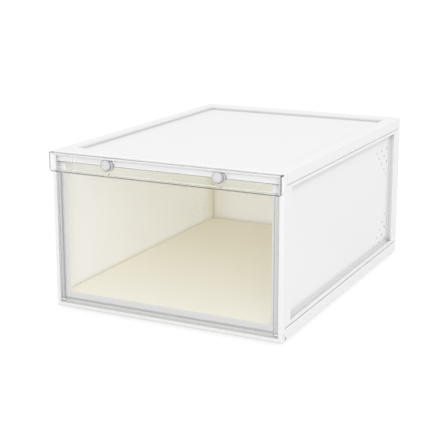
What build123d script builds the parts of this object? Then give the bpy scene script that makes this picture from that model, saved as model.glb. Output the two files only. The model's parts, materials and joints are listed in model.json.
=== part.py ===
from build123d import *
import os

# Shoe storage box: a white shell of plug-together panels with a clear drop-front door.
# Case coordinates: x from the middle, y back from the front of the frame, z up from the
# bottom edge of the band round the base. CASE moves them to the part's own frame, whose
# origin is the middle of the footprint, on the surface that the box stands on.

# Overall size of the case
WIDTH = 260.0
DEPTH = 360.0
HEIGHT = 168.0

# Base and cover: their outer bands are alike, below and above the wall panels
BAND = 12.6
BAND_GAP = 0.8
SKIRT = 2.4
WALL = 2.2
INNER_WALL = 2.0
CORNER = 1.5
TOP_EDGE = 1.2
LIP_EDGE = 0.8

# Wall panels: a flat inner plate with a raised border on its outer face
PANEL = 8.0
FIT = 0.2
PLATE = 2.2
RAIL = 3.8
FRONT_POST = 13.6
REAR_POST = 20.0
FIELD_EDGE = 1.5

# Tongues above and below each panel, and the blocks that grip inside the bands
TONGUE_END = 4.0
GRIP_BLOCKS = 5
GRIP_BLOCK = 12.0
GRIP_BLOCK_LOW = 6.0
GRIP_BLOCK_HIGH = 10.0

# Groove in each side panel that takes the edge of the rear panel
GROOVE_DEEP = 3.2
GROOVE_NEAR = 2.8
GROOVE_FAR = 5.2

# Front frame: outer walls round the door, and a ledge that the door shuts against
FRAME_DEPTH = 7.5
FRAME_WALL = 4.6
FRAME_TOP = 3.6
LEDGE_FRONT = 5.3
OPENING_SIDE = 13.6
SILL = 15.5
HEADER = 157.0
HEADER_FRONT = 2.4

# Snap tabs behind the frame, which hold in slots in the front posts
TAB_OFFSET = 48.0
TAB_HALF = 9.0
TAB_REACH = 5.5
TAB_INSET = 0.6
BARB = 0.6
SLOT_PLAY = 1.0

# Recess in the cover, and the foot ring that stands in the recess of the box below
RIM_SIDE = 14.5
RIM_FRONT = 25.0
RIM_REAR = 24.0
RECESS_DEPTH = 3.4
RECESS_CORNER = 3.0
RECESS_EDGE = 2.0
FOOT = 3.0
FOOT_WIDTH = 6.0
FOOT_CORNER = 6.0
STACK_PLAY = 1.0

# Ribs under the floor, and the notch where the frame is pried off the base
RIB = 1.6
RIB_DEEP = 8.0
RIB_PITCH = 36.0
RIBS_A_SIDE = 3
RIB_ROWS = 9
NOTCH_LONG = 2.6
NOTCH_LOW = 1.4
NOTCH_HIGH = 4.2

# Door: a clear plate, bordered up to the handle bar, turning on two pins at its foot.
# The plate ends just under the header.
DOOR_GAP = 0.4
BORDER_FRONT = 0.5
BORDER_THICK = 4.4
BORDER_WIDTH = 4.8
BORDER_EDGE = 0.6
DOOR_PLATE_FRONT = 2.0
PIN_RADIUS = 1.2
PIN_PLAY = 0.05
PIN_END = 0.3
PIN_IN_DOOR = 4.0

# Handle bar: a clear channel in front of the frame, open at its back
BAR_REACH = 6.5
BAR_BOTTOM = 146.8
BAR_TOP = 167.0
BAR_SKIN = 2.0
BAR_BACK = -0.4
BAR_CORNER = 3.4
BAR_EDGE = 1.3
BAR_GLUE = 0.05
WEB_INSET = 28.7
WEB_THICK = 1.0
WEB_DEEP = 2.5

# Magnets in the bar, and the steel plates in the back of the header that they pull on
MAGNET_RADIUS = 6.0
MAGNET_THICK = 3.0
MAGNET_OUT = 63.0
MAGNET_HEIGHT = 158.0
SOCKET_WALL = 1.2
SOCKET_PLAY = 0.1
SOCKET_DEPTH = 3.4
SOCKET_FOOT = 2.0
KEEPER_FRONT = 4.0
KEEPER_THICK = 1.5
KEEPER_WIDTH = 16.0
KEEPER_HEIGHT = 6.4
KEEPER_RISE = 0.8

# Air holes: a stepped corner pattern with its largest hole in the corner
HOLE_STEP_Y = 9.5
HOLE_STEP_Z = 7.9
HOLE_STEPS = 4
HOLE_LARGEST = 4.4
HOLE_SHRINK = 1.0
HOLE_REAR = 30.8
UPPER_HOLES = 134.6
LOWER_HOLES = 21.4

# Sizes that follow from the ones above
HALF = WIDTH / 2
MIDDLE = HEIGHT / 2
INNER = HALF - PANEL
PANEL_BACK = DEPTH - PANEL
FLOOR_HALF = INNER - FIT
FLOOR_REAR = PANEL_BACK - FIT
FLOOR_BOTTOM = SILL - WALL
SHELL_FRONT = FRAME_DEPTH + FIT
PANEL_LOW = BAND + BAND_GAP
PANEL_HIGH = HEIGHT - PANEL_LOW
DOOR_HALF = HALF - FRAME_WALL - DOOR_GAP
DOOR_LOW = FRAME_WALL + DOOR_GAP
DOOR_HIGH = HEADER - DOOR_GAP
BORDER_BACK = BORDER_FRONT + BORDER_THICK
BORDER_HIGH = BAR_BOTTOM - BAR_GLUE
PIVOT_Y = BORDER_FRONT + BORDER_THICK / 2
PIVOT_Z = DOOR_LOW + BORDER_THICK / 2
CASE = Pos(0, BAR_REACH - (DEPTH + BAR_REACH) / 2, FOOT)


def block(x, y, z):
    """A box between three (low, high) pairs."""
    size = [high - low for low, high in (x, y, z)]
    centre = [(low + high) / 2 for low, high in (x, y, z)]
    return Pos(*centre) * Box(*size)


def both(half):
    """The (low, high) pair that reaches as far to each side of the middle."""
    return (-half, half)


def about(centre, half):
    return (centre - half, centre + half)


def on_side(side, near, far):
    """The (low, high) pair between two distances from the middle, on one side of it."""
    return tuple(sorted((side * near, side * far)))


def rod(radius, x, y, z):
    """A cylinder along X between a (low, high) pair."""
    return Pos(sum(x) / 2, y, z) * Rot(0, 90, 0) * Cylinder(radius, x[1] - x[0])


def disc(radius, x, y, z):
    """A cylinder along Y between a (low, high) pair."""
    return Pos(x, sum(y) / 2, z) * Rot(90, 0, 0) * Cylinder(radius, y[1] - y[0])


def edges_at(solid, axis, place):
    """The edges that lie in one plane square to an axis."""
    return solid.edges().filter_by_position(axis, place - 0.01, place + 0.01)


def rounded(x, y, z, radius):
    """A box whose upright edges are rounded."""
    solid = block(x, y, z)
    return fillet(solid.edges().filter_by(Axis.Z), radius)


def ring(half, y, z, wall):
    """An upright wall inside a rectangle of the given size."""
    inside = block(both(half - wall), (y[0] + wall, y[1] - wall), z)
    return block(both(half), y, z) - inside


def shell_outline(z):
    """The outline of base and cover behind the frame, with its rear corners rounded."""
    outline = block(both(HALF), (SHELL_FRONT, DEPTH), z)
    return fillet(outline.edges().filter_by(Axis.Z).group_by(Axis.Y)[-1], CORNER)


def skirt(z):
    """The outer band of the base or the cover, with its front wall."""
    return shell_outline(z) - block(both(HALF - SKIRT), (SHELL_FRONT + WALL, DEPTH - SKIRT), z)


def foot_ring():
    half = HALF - RIM_SIDE - STACK_PLAY
    front = RIM_FRONT + STACK_PLAY
    rear = DEPTH - RIM_REAR - STACK_PLAY
    foot = rounded(both(half), (front, rear), (-FOOT, 0), FOOT_CORNER)
    inside_y = (front + FOOT_WIDTH, rear - FOOT_WIDTH)
    foot -= rounded(both(half - FOOT_WIDTH), inside_y, (-FOOT, 0), FOOT_CORNER / 2)
    foot = chamfer(edges_at(foot, Axis.Z, -FOOT), 0.6)
    return foot + ring(half, (front, rear), (-0.5, FLOOR_BOTTOM), WALL)


def floor_ribs():
    """Ribs both ways under the floor plate."""
    rib_z = (FLOOR_BOTTOM - RIB_DEEP, FLOOR_BOTTOM)
    ribs = []
    for step in range(-RIBS_A_SIDE, RIBS_A_SIDE + 1):
        ribs.append(block(about(step * RIB_PITCH, RIB / 2), (SHELL_FRONT, FLOOR_REAR), rib_z))
    for step in range(1, RIB_ROWS + 1):
        y = SHELL_FRONT + step * (FLOOR_REAR - SHELL_FRONT) / (RIB_ROWS + 1)
        ribs.append(block(both(FLOOR_HALF), about(y, RIB / 2), rib_z))
    return ribs


def base_tray():
    """Floor, the groove round it that takes the panels, the outer band and the foot ring."""
    floor_y = (SHELL_FRONT, FLOOR_REAR)
    wall_bottom = TONGUE_END - INNER_WALL
    tray = skirt((0, BAND))
    tray += block(both(FLOOR_HALF), floor_y, (FLOOR_BOTTOM, SILL))
    tray += block(both(FLOOR_HALF), (SHELL_FRONT, SHELL_FRONT + WALL), (0, SILL))
    groove_floor = block(both(HALF - 1), (SHELL_FRONT, DEPTH - 1), (wall_bottom, TONGUE_END))
    groove_floor -= block(both(FLOOR_HALF - 1), (SHELL_FRONT + 1, FLOOR_REAR - 1), (0, SILL))
    tray += groove_floor
    tray += ring(FLOOR_HALF, floor_y, (wall_bottom, SILL), INNER_WALL)
    tray += floor_ribs()
    tray += foot_ring()
    for side in (-1, 1):
        notch_x = on_side(side, HALF - SKIRT - 1, HALF + 1)
        tray -= block(notch_x, (SHELL_FRONT - 1, SHELL_FRONT + NOTCH_LONG), (NOTCH_LOW, NOTCH_HIGH))
    return tray


def top_cover():
    """Rim, outer band, and the recessed middle that the next box stands in.

    The front wall of the band ends level with the header of the frame.
    """
    half = HALF - RIM_SIDE
    front = RIM_FRONT
    rear = DEPTH - RIM_REAR
    seat = HEIGHT - RECESS_DEPTH
    cover = skirt((HEIGHT - BAND, HEIGHT))
    cover -= block(both(FLOOR_HALF), (SHELL_FRONT - 1, SHELL_FRONT + WALL), (HEIGHT - BAND - 1, HEADER))
    cover += shell_outline((HEIGHT - WALL, HEIGHT))
    cover += block(both(half + WALL), (front - WALL, rear + WALL), (seat - WALL, HEIGHT - 0.5))
    cover += ring(FLOOR_HALF, (SHELL_FRONT, FLOOR_REAR), (HEIGHT - 9, HEIGHT - 1), INNER_WALL)
    top = cover.faces().sort_by(Axis.Z)[-1]
    cover = fillet(top.outer_wire().edges().sort_by(Axis.Y)[1:], TOP_EDGE)
    cover -= rounded(both(half), (front, rear), (seat, HEIGHT + 1), RECESS_CORNER)
    top = cover.faces().sort_by(Axis.Z)[-1]
    return fillet(top.inner_wires()[0].edges(), RECESS_EDGE)


def air_holes(corner_z, up):
    """One stepped group of holes through the right panel, smaller away from the corner."""
    holes = []
    for column in range(HOLE_STEPS + 1):
        for row in range(column % 2, HOLE_STEPS + 1 - column, 2):
            radius = (HOLE_LARGEST - HOLE_SHRINK * (column + row) / 2) / 2
            y = DEPTH - HOLE_REAR - column * HOLE_STEP_Y
            z = corner_z + up * row * HOLE_STEP_Z
            holes.append(rod(radius, (INNER - 1, INNER + PLATE + 1), y, z))
    return holes


def grip_centres(span):
    low, high = span
    return [low + (step + 0.5) * (high - low) / GRIP_BLOCKS for step in range(GRIP_BLOCKS)]


def grip_heights():
    """The heights of the grip blocks on the lower and the upper tongue."""
    return ((GRIP_BLOCK_LOW, GRIP_BLOCK_HIGH), (HEIGHT - GRIP_BLOCK_HIGH, HEIGHT - GRIP_BLOCK_LOW))


def right_side_panel():
    front_field = SHELL_FRONT + FRONT_POST
    rear_field = DEPTH - REAR_POST
    panel = block((INNER, HALF), (SHELL_FRONT, DEPTH), (PANEL_LOW, PANEL_HIGH))
    upright = panel.edges().filter_by(Axis.Z)
    panel = fillet(upright.group_by(Axis.Y)[-1].sort_by(Axis.X)[-1], CORNER)
    field_z = (PANEL_LOW + RAIL, PANEL_HIGH - RAIL)
    field = block((INNER + PLATE, HALF + 5), (front_field, rear_field), field_z)
    panel -= fillet(edges_at(field, Axis.X, INNER + PLATE), FIELD_EDGE)
    rim = edges_at(panel, Axis.X, HALF).filter_by_position(Axis.Y, front_field, rear_field)
    panel = fillet(rim, LIP_EDGE)
    tongue_z = (TONGUE_END, HEIGHT - TONGUE_END)
    tongue_y = (SHELL_FRONT + WALL + FIT, FLOOR_REAR - LIP_EDGE)
    panel += block((INNER, INNER + PLATE), tongue_y, tongue_z)
    for y in grip_centres((front_field, FLOOR_REAR)):
        for z in grip_heights():
            panel += block((INNER + PLATE, HALF - SKIRT - FIT), about(y, GRIP_BLOCK / 2), z)
    hollow_x = (INNER + PLATE, HALF - WALL)
    panel -= block(hollow_x, (SHELL_FRONT + WALL, front_field - WALL), (0, HEIGHT))
    panel -= block(hollow_x, (rear_field + WALL, PANEL_BACK - WALL), (0, HEIGHT))
    groove_y = (DEPTH - GROOVE_FAR, DEPTH - GROOVE_NEAR)
    panel -= block((INNER - 1, INNER + GROOVE_DEEP), groove_y, (0, HEIGHT))
    for z in (MIDDLE - TAB_OFFSET, MIDDLE + TAB_OFFSET):
        slot_x = (hollow_x[0] + TAB_INSET - FIT, hollow_x[1] - TAB_INSET + FIT)
        slot_y = (SHELL_FRONT - 1, SHELL_FRONT + WALL + 1)
        panel -= block(slot_x, slot_y, about(z, TAB_HALF + SLOT_PLAY))
    return panel - air_holes(UPPER_HOLES, -1) - air_holes(LOWER_HOLES, 1)


def left_side_panel():
    """The same moulding as on the right, turned half a turn about the depth of the box."""
    return Pos(0, 0, MIDDLE) * Rot(0, 180, 0) * Pos(0, 0, -MIDDLE) * right_side_panel()


def rear_panel():
    plate_y = (PANEL_BACK, PANEL_BACK + PLATE)
    panel = block(both(FLOOR_HALF), (PANEL_BACK, DEPTH), (PANEL_LOW, PANEL_HIGH))
    field_half = FLOOR_HALF - REAR_POST
    field_z = (PANEL_LOW + RAIL, PANEL_HIGH - RAIL)
    field = block(both(field_half), (plate_y[1], DEPTH + 5), field_z)
    panel -= fillet(edges_at(field, Axis.Y, plate_y[1]), FIELD_EDGE)
    rim = edges_at(panel, Axis.Y, DEPTH).filter_by_position(Axis.X, -field_half, field_half)
    panel = fillet(rim.filter_by_position(Axis.Z, *field_z), LIP_EDGE)
    tongue_z = (TONGUE_END, HEIGHT - TONGUE_END)
    panel += block(both(FLOOR_HALF - LIP_EDGE), plate_y, tongue_z)
    for x in grip_centres(both(field_half)):
        for z in grip_heights():
            panel += block(about(x, GRIP_BLOCK / 2), (plate_y[1], DEPTH - SKIRT - FIT), z)
    tongue_y = (DEPTH - GROOVE_FAR + FIT, DEPTH - GROOVE_NEAR - FIT)
    for side in (-1, 1):
        tongue_x = on_side(side, FLOOR_HALF - 1, INNER + GROOVE_DEEP - FIT)
        panel += block(tongue_x, tongue_y, (PANEL_LOW, PANEL_HIGH))
    return panel


def front_frame():
    """The surround of the door, with its ledge and header, hinge bores and snap tabs."""
    frame = block(both(HALF), (0, FRAME_DEPTH), (0, HEIGHT))
    top_sides = edges_at(frame, Axis.Z, HEIGHT).filter_by(Axis.Y)
    frame = fillet(edges_at(frame, Axis.Y, 0) + top_sides, TOP_EDGE)
    inside = both(HALF - FRAME_WALL)
    frame -= block(inside, (-1, LEDGE_FRONT), (FRAME_WALL, HEADER))
    frame -= block(inside, (-1, HEADER_FRONT), (HEADER - 1, HEIGHT - FRAME_TOP))
    opening_half = HALF - OPENING_SIDE
    frame -= block(both(opening_half), (0, FRAME_DEPTH + 1), (SILL, HEADER))
    lip = edges_at(frame, Axis.Y, LEDGE_FRONT).filter_by_position(Axis.X, -opening_half, opening_half)
    frame = fillet(lip.filter_by_position(Axis.Z, SILL, HEADER - 1), LIP_EDGE)
    tab_y = (FRAME_DEPTH - 1, FRAME_DEPTH + TAB_REACH)
    barb_y = (SHELL_FRONT + WALL + 3 * FIT, FRAME_DEPTH + TAB_REACH)
    for side in (-1, 1):
        tab_x = on_side(side, INNER + PLATE + TAB_INSET, HALF - WALL - TAB_INSET)
        barb_x = on_side(side, HALF - WALL - TAB_INSET, HALF - WALL - TAB_INSET + BARB - FIT)
        for z in (MIDDLE - TAB_OFFSET, MIDDLE + TAB_OFFSET):
            frame += block(tab_x, tab_y, about(z, TAB_HALF))
            frame += block(barb_x, barb_y, about(z, TAB_HALF))
        bore_x = on_side(side, HALF - FRAME_WALL - 1, HALF + 1)
        frame -= rod(PIN_RADIUS, bore_x, PIVOT_Y, PIVOT_Z)
        frame -= keeper_space(side, FRAME_DEPTH + 1)
    return frame


def keeper_space(side, back):
    """The space of a keeper plate, from its front face to the given depth."""
    x = about(side * MAGNET_OUT, KEEPER_WIDTH / 2)
    low = HEADER + KEEPER_RISE
    return block(x, (KEEPER_FRONT, back), (low, low + KEEPER_HEIGHT))


def keeper_plate(side):
    """A steel plate on the floor of a pocket in the back of the header."""
    return keeper_space(side, KEEPER_FRONT + KEEPER_THICK)


def hinge_pin(side):
    """A pin pressed in through the side wall of the frame; the foot of the door turns on it."""
    x = on_side(side, DOOR_HALF - PIN_IN_DOOR, HALF - PIN_END)
    pin = rod(PIN_RADIUS, x, PIVOT_Y, PIVOT_Z)
    return chamfer(pin.edges().filter_by(GeomType.CIRCLE), FIT)


def door_panel():
    """Clear plate, thicker along its sides and foot; the foot is round about the hinge."""
    door = block(both(DOOR_HALF), (BORDER_FRONT, BORDER_BACK), (DOOR_LOW, BORDER_HIGH))
    foot = edges_at(door, Axis.Z, DOOR_LOW).filter_by(Axis.X)
    door = fillet(foot, BORDER_THICK / 2 - 0.01)
    sides = edges_at(door, Axis.Y, BORDER_FRONT).filter_by(Axis.Z)
    door = fillet(sides, BORDER_EDGE)
    plate_y = (DOOR_PLATE_FRONT, DOOR_PLATE_FRONT + PLATE)
    window_x = both(DOOR_HALF - BORDER_WIDTH)
    window_z = (DOOR_LOW + BORDER_WIDTH, BORDER_HIGH + 1)
    for y in ((-1, plate_y[0]), (plate_y[1], LEDGE_FRONT)):
        door -= block(window_x, y, window_z)
    door += block(both(DOOR_HALF), plate_y, (BORDER_HIGH - 1, DOOR_HIGH))
    for side in (-1, 1):
        bore_x = on_side(side, DOOR_HALF - PIN_IN_DOOR - DOOR_GAP, DOOR_HALF + 1)
        door -= rod(PIN_RADIUS + PIN_PLAY, bore_x, PIVOT_Y, PIVOT_Z)
    return door


def bar_outline(skin, back):
    """The rounded outline of the handle bar, drawn in by its skin."""
    z = (BAR_BOTTOM + skin, BAR_TOP - skin)
    outline = block(both(HALF - skin), (skin - BAR_REACH, back), z)
    lower_ends = outline.edges().filter_by(Axis.Y).group_by(Axis.Z)[0]
    outline = fillet(lower_ends, BAR_CORNER - skin)
    return fillet(edges_at(outline, Axis.Y, skin - BAR_REACH), BAR_EDGE - skin / 4)


def handle_bar():
    """Clear channel across the top of the door, with a web near its left end.

    Two sockets for the magnets stand on its lower wall.
    """
    bar = bar_outline(0, BAR_BACK) - bar_outline(BAR_SKIN, BAR_BACK + 1)
    seat = DOOR_PLATE_FRONT - BAR_GLUE
    foot_z = (BAR_BOTTOM, BAR_BOTTOM + BAR_SKIN)
    bar += block(both(DOOR_HALF), (BAR_BACK - 1, seat), foot_z)
    web_y = (BAR_SKIN - BAR_REACH - 0.5, BAR_SKIN - BAR_REACH + WEB_DEEP)
    web_z = (foot_z[1] - 0.5, BAR_TOP - BAR_SKIN + 0.5)
    bar += block(about(WEB_INSET - HALF, WEB_THICK / 2), web_y, web_z)
    socket_y = (seat - SOCKET_DEPTH, seat)
    socket_z = (foot_z[1] - 0.5, HEIGHT - FRAME_TOP - DOOR_GAP)
    bore = MAGNET_RADIUS + SOCKET_PLAY
    for side in (-1, 1):
        centre = side * MAGNET_OUT
        socket = disc(bore + SOCKET_WALL, centre, socket_y, MAGNET_HEIGHT)
        socket += block(about(centre, SOCKET_FOOT), socket_y, (socket_z[0], MAGNET_HEIGHT))
        socket &= block(about(centre, 2 * bore), socket_y, socket_z)
        bar += socket - disc(bore, centre, about(0, BAR_REACH), MAGNET_HEIGHT)
    return bar


def door_magnet(side):
    back = DOOR_PLATE_FRONT - BAR_GLUE - SOCKET_PLAY
    magnet = disc(MAGNET_RADIUS, side * MAGNET_OUT, (back - MAGNET_THICK, back), MAGNET_HEIGHT)
    return fillet(magnet.edges().filter_by(GeomType.CIRCLE), 0.4)


NODES = {
    "base_tray": base_tray(),
    "top_cover": top_cover(),
    "left_side_panel": left_side_panel(),
    "right_side_panel": right_side_panel(),
    "rear_panel": rear_panel(),
    "front_frame": front_frame(),
    "left_keeper_plate": keeper_plate(-1),
    "right_keeper_plate": keeper_plate(1),
    "left_hinge_pin": hinge_pin(-1),
    "right_hinge_pin": hinge_pin(1),
    "door_panel": door_panel(),
    "handle_bar": handle_bar(),
    "left_door_magnet": door_magnet(-1),
    "right_door_magnet": door_magnet(1),
}

os.makedirs("parts", exist_ok=True)
for name, solid in NODES.items():
    export_step(CASE * solid, f"parts/{name}.step")
    print(name, "written")
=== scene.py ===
import json
import math

import bpy
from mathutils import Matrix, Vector


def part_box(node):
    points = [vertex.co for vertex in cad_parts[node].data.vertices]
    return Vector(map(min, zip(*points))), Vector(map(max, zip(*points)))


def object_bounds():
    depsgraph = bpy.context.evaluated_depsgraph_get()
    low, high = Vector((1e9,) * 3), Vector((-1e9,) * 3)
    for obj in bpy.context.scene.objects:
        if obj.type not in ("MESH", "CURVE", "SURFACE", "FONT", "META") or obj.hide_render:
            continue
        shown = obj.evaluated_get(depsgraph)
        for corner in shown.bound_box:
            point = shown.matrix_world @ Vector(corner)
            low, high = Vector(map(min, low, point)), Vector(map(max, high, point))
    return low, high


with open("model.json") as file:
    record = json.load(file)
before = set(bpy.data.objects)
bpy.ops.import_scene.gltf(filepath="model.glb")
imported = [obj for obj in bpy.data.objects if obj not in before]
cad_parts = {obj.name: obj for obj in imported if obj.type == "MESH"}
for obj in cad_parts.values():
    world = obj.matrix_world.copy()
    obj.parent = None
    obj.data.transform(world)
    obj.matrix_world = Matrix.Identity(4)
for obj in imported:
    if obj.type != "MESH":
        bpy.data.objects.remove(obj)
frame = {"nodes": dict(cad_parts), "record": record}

# Lengths are in metres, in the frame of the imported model
MM = 0.001
CAD_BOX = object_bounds()
CASE_LOW, CASE_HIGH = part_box("front_frame")
SIDE_LOW, SIDE_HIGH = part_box("right_side_panel")
DOOR_LOW, DOOR_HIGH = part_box("door_panel")
BAR_LOW, BAR_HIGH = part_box("handle_bar")

# The photograph's camera, read off the corners of the case
PHOTO_WIDTH = 447
CAMERA_AT = (0.5157, -1.0862, 0.3851)
CAMERA_AZIMUTH = math.radians(26.246)
CAMERA_DOWN = math.radians(12.843)
FOCAL_PIXELS = 1086.0
AXIS_ROW = 185
SENSOR = 36.0
FARTHEST = 100

# How often a finish looks round for other faces at each point, for its painted shade in creases and corners
OPENNESS_SAMPLES = 6


class Value:
    """A socket of a finish. Operators on values add the Math nodes that work them out."""

    def __init__(self, finish, socket):
        self.finish = finish
        self.socket = socket

    def maths(self, operation, *values):
        return self.finish.node("ShaderNodeMath", {"operation": operation}, dict(enumerate(values)))

    def __add__(self, other):
        return self.maths("ADD", self, other)

    def __sub__(self, other):
        return self.maths("SUBTRACT", self, other)

    def __rsub__(self, other):
        return self.maths("SUBTRACT", other, self)

    def __mul__(self, other):
        return self.maths("MULTIPLY", self, other)

    def __gt__(self, other):
        return self.maths("GREATER_THAN", self, other)

    def __lt__(self, other):
        return self.maths("LESS_THAN", self, other)

    def __abs__(self):
        return self.maths("ABSOLUTE", self)

    __radd__ = __add__
    __rmul__ = __mul__

    def or_more(self, other):
        return self.maths("MAXIMUM", self, other)

    def or_less(self, other):
        return self.maths("MINIMUM", self, other)

    def ramp(self, start, end):
        """0 up to one value and 1 from the other, with an even rise between them."""
        settings = {"clamp": True}
        return self.finish.node("ShaderNodeMapRange", settings, {0: self, 1: start, 2: end})

    def line(self, centre, half, soft):
        """1 within half of the centre, and soft edges."""
        return 1 - abs(self - centre).ramp(half, half + soft)


class Finish:
    """A material's node tree, or the world's."""

    def __init__(self, owner):
        self.owner = owner
        owner.use_nodes = True
        self.tree = owner.node_tree
        self.tree.nodes.clear()

    def node(self, kind, settings=None, sockets=None, output=0):
        """Adds a node by its type, its settings, then the values or links of its sockets."""
        made = self.tree.nodes.new(kind)
        for name, value in (settings or {}).items():
            setattr(made, name, value)
        for name, value in (sockets or {}).items():
            if isinstance(value, Value):
                self.tree.links.new(value.socket, made.inputs[name])
            else:
                made.inputs[name].default_value = value
        return Value(self, made.outputs[output])

    def place(self, axis=None, space="Object"):
        """Where a point of the surface is on the piece, or that along one axis."""
        place = self.node("ShaderNodeTexCoord", output=space)
        if axis is None:
            return place
        return self.node("ShaderNodeSeparateXYZ", {}, {0: place}, axis)

    def noise(self, size, detail=2.0, roughness=0.5):
        """Noise from 0 to 1 whose features are about so many metres across."""
        sockets = {"Vector": self.place(), "Scale": 1 / size, "Detail": detail, "Roughness": roughness}
        return self.node("ShaderNodeTexNoise", {}, sockets)

    def openness(self, reach, own_piece_only):
        """1 where the surface lies open, less where other faces are within reach."""
        settings = {"samples": OPENNESS_SAMPLES, "only_local": own_piece_only}
        return self.node("ShaderNodeAmbientOcclusion", settings, {"Distance": reach}, 1)

    def blend(self, share, first, second):
        """A colour between two colours."""
        settings = {"data_type": "RGBA", "clamp_factor": True}
        return self.node("ShaderNodeMix", settings, {0: share, 6: first, 7: second}, 2)

    def bump(self, height, distance, strength):
        return self.node("ShaderNodeBump", {}, {"Height": height, "Distance": distance, "Strength": strength})

    def surface(self, **sockets):
        """The main shader, with its sockets by name and _ for a space."""
        named = {name.replace("_", " "): value for name, value in sockets.items()}
        return self.node("ShaderNodeBsdfPrincipled", {}, named)

    def mix(self, share, first, second):
        return self.node("ShaderNodeMixShader", {}, {0: share, 1: first, 2: second})

    def ray(self, *kinds):
        """1 for rays of these kinds, 0 for all others."""
        share = self.node("ShaderNodeLightPath", output=f"Is {kinds[0]} Ray")
        for kind in kinds[1:]:
            share = share.or_more(self.node("ShaderNodeLightPath", output=f"Is {kind} Ray"))
        return share

    def show(self, shader, kind="ShaderNodeOutputMaterial"):
        output = self.tree.nodes.new(kind)
        self.tree.links.new(shader.socket, output.inputs["Surface"])
        return self.owner

    def fill(self, volume):
        output = next(node for node in self.tree.nodes if node.type == "OUTPUT_MATERIAL")
        self.tree.links.new(volume.socket, output.inputs["Volume"])
        return self.owner


def new_finish(name):
    return Finish(bpy.data.materials.new(name))


# Satin white plastic, with a fine grain and slow changes of gloss
WHITE = (0.87, 0.87, 0.87, 1)
PLASTIC_IOR = 1.49
SATIN_ROUGHNESS = 0.42
GRAIN = 0.35 * MM
GRAIN_DEPTH = 0.01 * MM
GRAIN_STRENGTH = 0.5
GRAIN_ROUGHNESS = 0.1
GLOSS_CHANGE = 45 * MM
GLOSS_ROUGHNESS = 0.06

# Painted shade: the colour darkens in creases, over this reach
PAINTED_CREASE_SHADE = (0.3, 0.3, 0.305, 1)
CREASE = 9 * MM
FRAME_CREASE = 7 * MM

# The compartment's faces are painted cream, paler and warmer than the outside white, as painted warm light
# inside the box, and a little darker near the floor's edges as painted shade
CREAM = (0.988, 0.976, 0.926, 1)
CREAM_CORNER_SHADE = (0.93, 0.9, 0.83, 1)
CORNER_REACH = 7 * MM
CORNER_HEIGHT = (6 * MM, 14 * MM)

# Light comes in through thin walls, with a little less of its blue
LET_IN = 9 * MM
LET_IN_TINT = (1.0, 0.97, 0.92)

# The lining's limits, a little past its faces, and how far it reaches into the air holes
FACE_MARGIN = 0.5 * MM
FRAME_BACK = 7.4 * MM
PANEL = 8 * MM
COVER_SKIN = 4.5 * MM
INSIDE_FRONT = CASE_LOW.y + FRAME_BACK
INSIDE_REAR = SIDE_HIGH.y - PANEL
INSIDE_HALF = SIDE_LOW.x
INSIDE_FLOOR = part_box("base_tray")[1].z
INSIDE_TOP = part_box("top_cover")[1].z - COVER_SKIN
HOLE_DEPTH = 1.3 * MM

# The side panels' posts
FRONT_POST = 13.6 * MM
REAR_POST = 20 * MM

# Painted shadow lines on the frame, beside and behind the door and along the foot
PAINTED_SHADOW_GREY = (0.7, 0.7, 0.7, 1)
FRAME_WALL = 4.6 * MM
GAP_SHADOW = 0.35 * MM
LEDGE_FRONT = 5.3 * MM
LEDGE_SHARE = 0.9
FOOT_SHADOW = 0.5 * MM

# The rim round the recess in the cover, and the shade on its left and rear edges
RIM_SIDE = 14.5 * MM
RIM_REAR = 24 * MM
RIM_FRONT = 25 * MM
RIM_SHADOW = 2.6 * MM
RIM_SHARE = 0.4


def inside(finish):
    """1 on the faces that line the compartment, 0 elsewhere."""
    x, y, z = (finish.place(axis) for axis in range(3))
    across = abs(x) < INSIDE_HALF + HOLE_DEPTH
    along = (y > INSIDE_FRONT) * (y < INSIDE_REAR + FACE_MARGIN)
    upright = (z > INSIDE_FLOOR - FACE_MARGIN) * (z < INSIDE_TOP)
    return across * along * upright


def beside_post(finish):
    """1 on the inner faces of the side panels' posts, which are too thick for light to come through."""
    x, y = (finish.place(axis) for axis in range(2))
    front_post = y < SIDE_LOW.y + FRONT_POST
    rear_post = y > SIDE_HIGH.y - REAR_POST
    return front_post.or_more(rear_post) * (abs(x) > INSIDE_HALF - FACE_MARGIN)


def frame_shadow(finish):
    """1 where a shadow lies on the frame: beside and behind the door, and along the foot."""
    x, y, z = (finish.place(axis) for axis in range(3))
    height = z - CASE_LOW.z
    below_bar = z < BAR_LOW.z
    from_edge = (CASE_HIGH.x - abs(x)).or_less(height)
    ledge_front = CASE_LOW.y + LEDGE_FRONT
    before_ledge = y < ledge_front - FACE_MARGIN
    on_ledge = (abs(y - ledge_front) < FACE_MARGIN) * (from_edge > FRAME_WALL)
    beside_door = from_edge.line(FRAME_WALL, GAP_SHADOW, GAP_SHADOW) * before_ledge
    along_foot = 1 - height.ramp(FOOT_SHADOW, 2 * FOOT_SHADOW)
    return (beside_door.or_more(LEDGE_SHARE * on_ledge) * below_bar).or_more(along_foot)


def recess_shadow(finish):
    """A light shade round the left and rear edges of the recess in the cover."""
    x, y = (finish.place(axis) for axis in range(2))
    outside_left = (CASE_LOW.x + RIM_SIDE) - x
    outside_rear = y - (SIDE_HIGH.y - RIM_REAR)
    along = (x < CASE_HIGH.x - RIM_SIDE) * (y > CASE_LOW.y + RIM_FRONT)
    return RIM_SHARE * along * outside_left.or_more(outside_rear).line(0, RIM_SHADOW / 2, RIM_SHADOW)


def satin_gloss(finish):
    """The sockets that white and cream plastic have in common."""
    grain = finish.noise(GRAIN, detail=3.0, roughness=0.6)
    gloss_change = finish.noise(GLOSS_CHANGE)
    return {
        "Roughness": SATIN_ROUGHNESS + GRAIN_ROUGHNESS * grain + GLOSS_ROUGHNESS * gloss_change,
        "IOR": PLASTIC_IOR,
        "Normal": finish.bump(grain, GRAIN_DEPTH, GRAIN_STRENGTH),
    }


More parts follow.
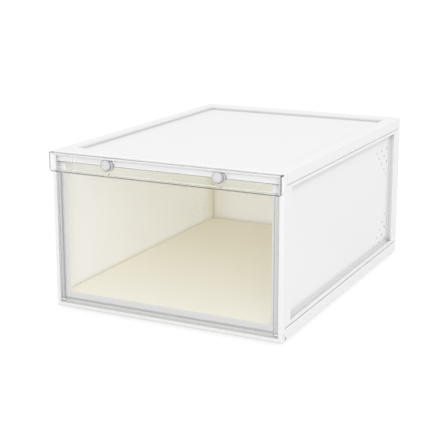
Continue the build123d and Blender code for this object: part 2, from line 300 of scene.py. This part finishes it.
def painted_cream_inside(finish, satin, sheer):
    """The compartment's side of the plastic, painted pale warm cream for the light inside the box and darker
    near the floor as painted shade. Light comes through it where it is sheer.
    """
    open_corner = finish.openness(CORNER_REACH, own_piece_only=False)
    above_floor = finish.place(2) - INSIDE_FLOOR
    # painted warm light and painted corner shade: pale cream, darker near the floor's edges
    cream = finish.blend(open_corner.or_more(above_floor.ramp(*CORNER_HEIGHT)), CREAM_CORNER_SHADE, CREAM)
    thick_wall = finish.surface(Base_Color=cream, **satin)
    if not sheer:
        return thick_wall
    thin_wall = finish.surface(
        Base_Color=cream,
        Subsurface_Weight=1.0,
        Subsurface_Radius=LET_IN_TINT,
        Subsurface_Scale=LET_IN,
        **satin,
    )
    return finish.mix(beside_post(finish), thin_wall, thick_wall)


def white_plastic(name, sheer=False, crease=CREASE, shadow=None):
    """Satin white plastic, painted cream inside the box, with painted shade in its creases and painted shadow
    where a function of the finish says.
    """
    finish = new_finish(name)
    satin = satin_gloss(finish)
    open_crease = finish.openness(crease, own_piece_only=True)
    # painted shade: a darker colour where the piece's own faces close in
    white = finish.blend(open_crease, PAINTED_CREASE_SHADE, WHITE)
    if shadow:
        # painted shadow or shade, where the given function says
        white = finish.blend(shadow(finish), white, PAINTED_SHADOW_GREY)
    outside = finish.surface(Base_Color=white, **satin)
    return finish.show(finish.mix(inside(finish), outside, painted_cream_inside(finish, satin, sheer)))


# Clear plastic, smooth with a faint smear, takes a little of the light that goes a long way through it
CLEAR = (0.985, 0.99, 0.99, 1)
CLEAR_IOR = 1.5
CLEAR_ROUGHNESS = 0.02
SMEAR = 30 * MM
SMEAR_ROUGHNESS = 0.03
DEEP_TINT = (0.6, 0.6, 0.53, 1)
DEPTH_DENSITY = 2.5

# Its edges and steps bend the light away; the dark lines this makes are painted grey into its colour
DOOR_PAINTED_DARK = (0.5, 0.51, 0.5, 1)
BAR_PAINTED_DARK = (0.2, 0.2, 0.2, 1)
LINE_SOFT = 0.5 * MM
DOOR_STEP = 4.4 * MM
DOOR_STEP_HALF = 0.5 * MM
DOOR_STEP_DEEP = 1.6 * MM
BAR_LINE = 1.3 * MM
BAR_TOP_FACE = 0.3 * MM
BAR_TOP_SHARE = 0.5


def clear_plastic(name, greyed, grey):
    """Clear plastic, painted grey where a function of the finish says, for the dark lines that bending light
    makes at its edges.
    """
    finish = new_finish(name)
    # painted refraction: grey lines in the clear plastic's colour where the mask says
    clear = finish.surface(
        Base_Color=finish.blend(greyed(finish), CLEAR, grey),
        Roughness=CLEAR_ROUGHNESS + SMEAR_ROUGHNESS * finish.noise(SMEAR, detail=3.0),
        IOR=CLEAR_IOR,
        Transmission_Weight=1.0,
    )
    open_air = finish.node("ShaderNodeBsdfTransparent")
    depth = finish.node("ShaderNodeVolumeAbsorption", {}, {"Color": DEEP_TINT, "Density": DEPTH_DENSITY})
    finish.show(finish.mix(finish.ray("Shadow", "Diffuse"), clear, open_air))
    return finish.fill(depth)


def door_painted_lines(finish):
    """Painted grey along the inner edge of the door's border, on its front below the bar, for the dark line
    of its step.
    """
    x, y, z = (finish.place(axis) for axis in range(3))
    from_edge = (DOOR_HIGH.x - abs(x)).or_less(z - DOOR_LOW.z)
    front = (y < DOOR_LOW.y + DOOR_STEP_DEEP) * (z < BAR_LOW.z)
    return from_edge.line(DOOR_STEP, DOOR_STEP_HALF, LINE_SOFT) * front


def bar_painted_lines(finish):
    """Painted grey along the foot and the ends of the bar's front, and on its narrow top, for the dark lines
    of its edges.
    """
    x, y, z = (finish.place(axis) for axis in range(3))
    from_edge = (BAR_HIGH.x - abs(x)).or_less(z - BAR_LOW.z)
    front = (1 - from_edge.ramp(BAR_LINE, BAR_LINE + LINE_SOFT)) * (y < BAR_LOW.y + BAR_LINE)
    return front.or_more(BAR_TOP_SHARE * (z > BAR_HIGH.z - BAR_TOP_FACE))


# Plating with fine scratches
SCRATCH = 0.5 * MM
SCRATCH_ROUGHNESS = 0.15
ZINC = (0.6, 0.6, 0.61, 1)
ZINC_ROUGHNESS = 0.3
NICKEL = (0.86, 0.83, 0.81, 1)
NICKEL_PAINTED_DARK = (0.36, 0.36, 0.42, 1)
NICKEL_ROUGHNESS = 0.25

# The painted reflection's bright middle on a magnet, from 0 at its left and foot to 1 at its right and top,
# and its squared radii
GLINT_ACROSS = 0.38
GLINT_UP = 0.52
GLINT_FADE = (0.12, 0.24)


def plated_steel(finish, colour, roughness):
    scratches = finish.noise(SCRATCH, detail=4.0, roughness=0.7)
    rough = roughness + SCRATCH_ROUGHNESS * scratches
    return finish.show(finish.surface(Base_Color=colour, Metallic=1.0, Roughness=rough))


def nickel_with_painted_reflection(name):
    """Bright nickel with a painted reflection: light in the middle, dark in a crescent on its right."""
    finish = new_finish(name)
    across = finish.place(0, "Generated") - GLINT_ACROSS
    up = finish.place(2, "Generated") - GLINT_UP
    from_centre = across * across + up * up
    # painted reflection: a light middle fading to a dark crescent on the right
    colour = finish.blend(from_centre.ramp(*GLINT_FADE), NICKEL, NICKEL_PAINTED_DARK)
    return plated_steel(finish, colour, NICKEL_ROUGHNESS)


def finish_pieces():
    """Gives each piece the finish of its slot, or its own."""
    slot_finishes = {
        "white_shell": white_plastic("white_plastic"),
        "clear_door": clear_plastic("clear_door_plastic", door_painted_lines, DOOR_PAINTED_DARK),
        "clear_bar": clear_plastic("clear_bar_plastic", bar_painted_lines, BAR_PAINTED_DARK),
        "magnet": nickel_with_painted_reflection("magnet_plating"),
        "keeper_steel": plated_steel(new_finish("keeper_zinc"), ZINC, ZINC_ROUGHNESS),
        "pin_nylon": white_plastic("pin_nylon"),
    }
    thin_wall = white_plastic("sheer_white_plastic", sheer=True)
    own_finishes = {
        "left_side_panel": thin_wall,
        "right_side_panel": thin_wall,
        "rear_panel": thin_wall,
        "top_cover": white_plastic("cover_white_plastic", sheer=True, shadow=recess_shadow),
        "front_frame": white_plastic("frame_white_plastic", crease=FRAME_CREASE, shadow=frame_shadow),
    }
    for subpart in frame["record"]["subparts"]:
        piece = frame["nodes"][subpart["node"]]
        piece.data.materials.clear()
        slot_finish = slot_finishes[subpart["material_slot"]]
        piece.data.materials.append(own_finishes.get(subpart["node"], slot_finish))


# Floor and backdrop: white where the camera sees them, with the object's shadow on the floor
WHITE_LIGHT = (1, 1, 1, 1)
FLOOR_SIZE = 30.0
PAPER = (0.8, 0.8, 0.8, 1)
GLOW = 1.1
GLOW_SHARE = 0.75
DAYLIGHT = 0.96

# Each lamp's name, place and power in watts
SOFTBOX_SIZE = 1.2
SOFTBOXES = (
    ("front", (1.3, -2.3, 1.3), 14),
    ("right", (2.6, 0.2, 0.9), 3),
)


def make_floor():
    bpy.ops.mesh.primitive_plane_add(size=FLOOR_SIZE)
    floor = bpy.context.object
    floor.name = "floor"
    finish = new_finish("floor_paper")
    paper = finish.node("ShaderNodeBsdfDiffuse", {}, {"Color": PAPER})
    glow = finish.node("ShaderNodeEmission", {}, {"Color": WHITE_LIGHT, "Strength": GLOW})
    seen = finish.ray("Camera", "Glossy", "Transmission")
    floor.data.materials.append(finish.show(finish.mix(GLOW_SHARE * seen, paper, glow)))


def light_world():
    world = bpy.data.worlds.new("studio")
    bpy.context.scene.world = world
    finish = Finish(world)
    soft = finish.node("ShaderNodeBackground", {}, {"Color": WHITE_LIGHT, "Strength": DAYLIGHT})
    white = finish.node("ShaderNodeBackground", {}, {"Color": WHITE_LIGHT})
    seen = finish.ray("Camera", "Glossy", "Transmission")
    finish.show(finish.mix(seen, soft, white), "ShaderNodeOutputWorld")


def softbox(name, at, power):
    """A square lamp that faces the object."""
    lamp = bpy.data.lights.new(name, "AREA")
    lamp.shape = "SQUARE"
    lamp.size = SOFTBOX_SIZE
    lamp.energy = power
    holder = bpy.data.objects.new(name, lamp)
    holder.location = at
    middle = (CAD_BOX[0] + CAD_BOX[1]) / 2
    holder.rotation_euler = (middle - Vector(at)).to_track_quat("-Z", "Y").to_euler()
    bpy.context.scene.collection.objects.link(holder)


def make_camera():
    camera = bpy.data.cameras.new("photo_camera")
    camera.sensor_width = SENSOR
    camera.lens = FOCAL_PIXELS * SENSOR / PHOTO_WIDTH
    camera.shift_y = (AXIS_ROW - PHOTO_WIDTH / 2) / PHOTO_WIDTH
    camera.clip_end = FARTHEST
    holder = bpy.data.objects.new("photo_camera", camera)
    holder.location = CAMERA_AT
    level = math.cos(CAMERA_DOWN)
    sideways = -math.sin(CAMERA_AZIMUTH) * level
    forwards = math.cos(CAMERA_AZIMUTH) * level
    ahead = Vector((sideways, forwards, -math.sin(CAMERA_DOWN)))
    holder.rotation_euler = ahead.to_track_quat("-Z", "Y").to_euler()
    bpy.context.scene.collection.objects.link(holder)
    bpy.context.scene.camera = holder


finish_pieces()
make_floor()
light_world()
for lamp_name, lamp_place, lamp_power in SOFTBOXES:
    softbox(lamp_name, lamp_place, lamp_power)
make_camera()

# Light goes back and forth many times between the white walls before it comes out
cycles = bpy.context.scene.cycles
cycles.max_bounces = 40
cycles.diffuse_bounces = 24
cycles.transmission_bounces = 16
cycles.transparent_max_bounces = 32
bpy.context.scene.view_settings.view_transform = "Standard"
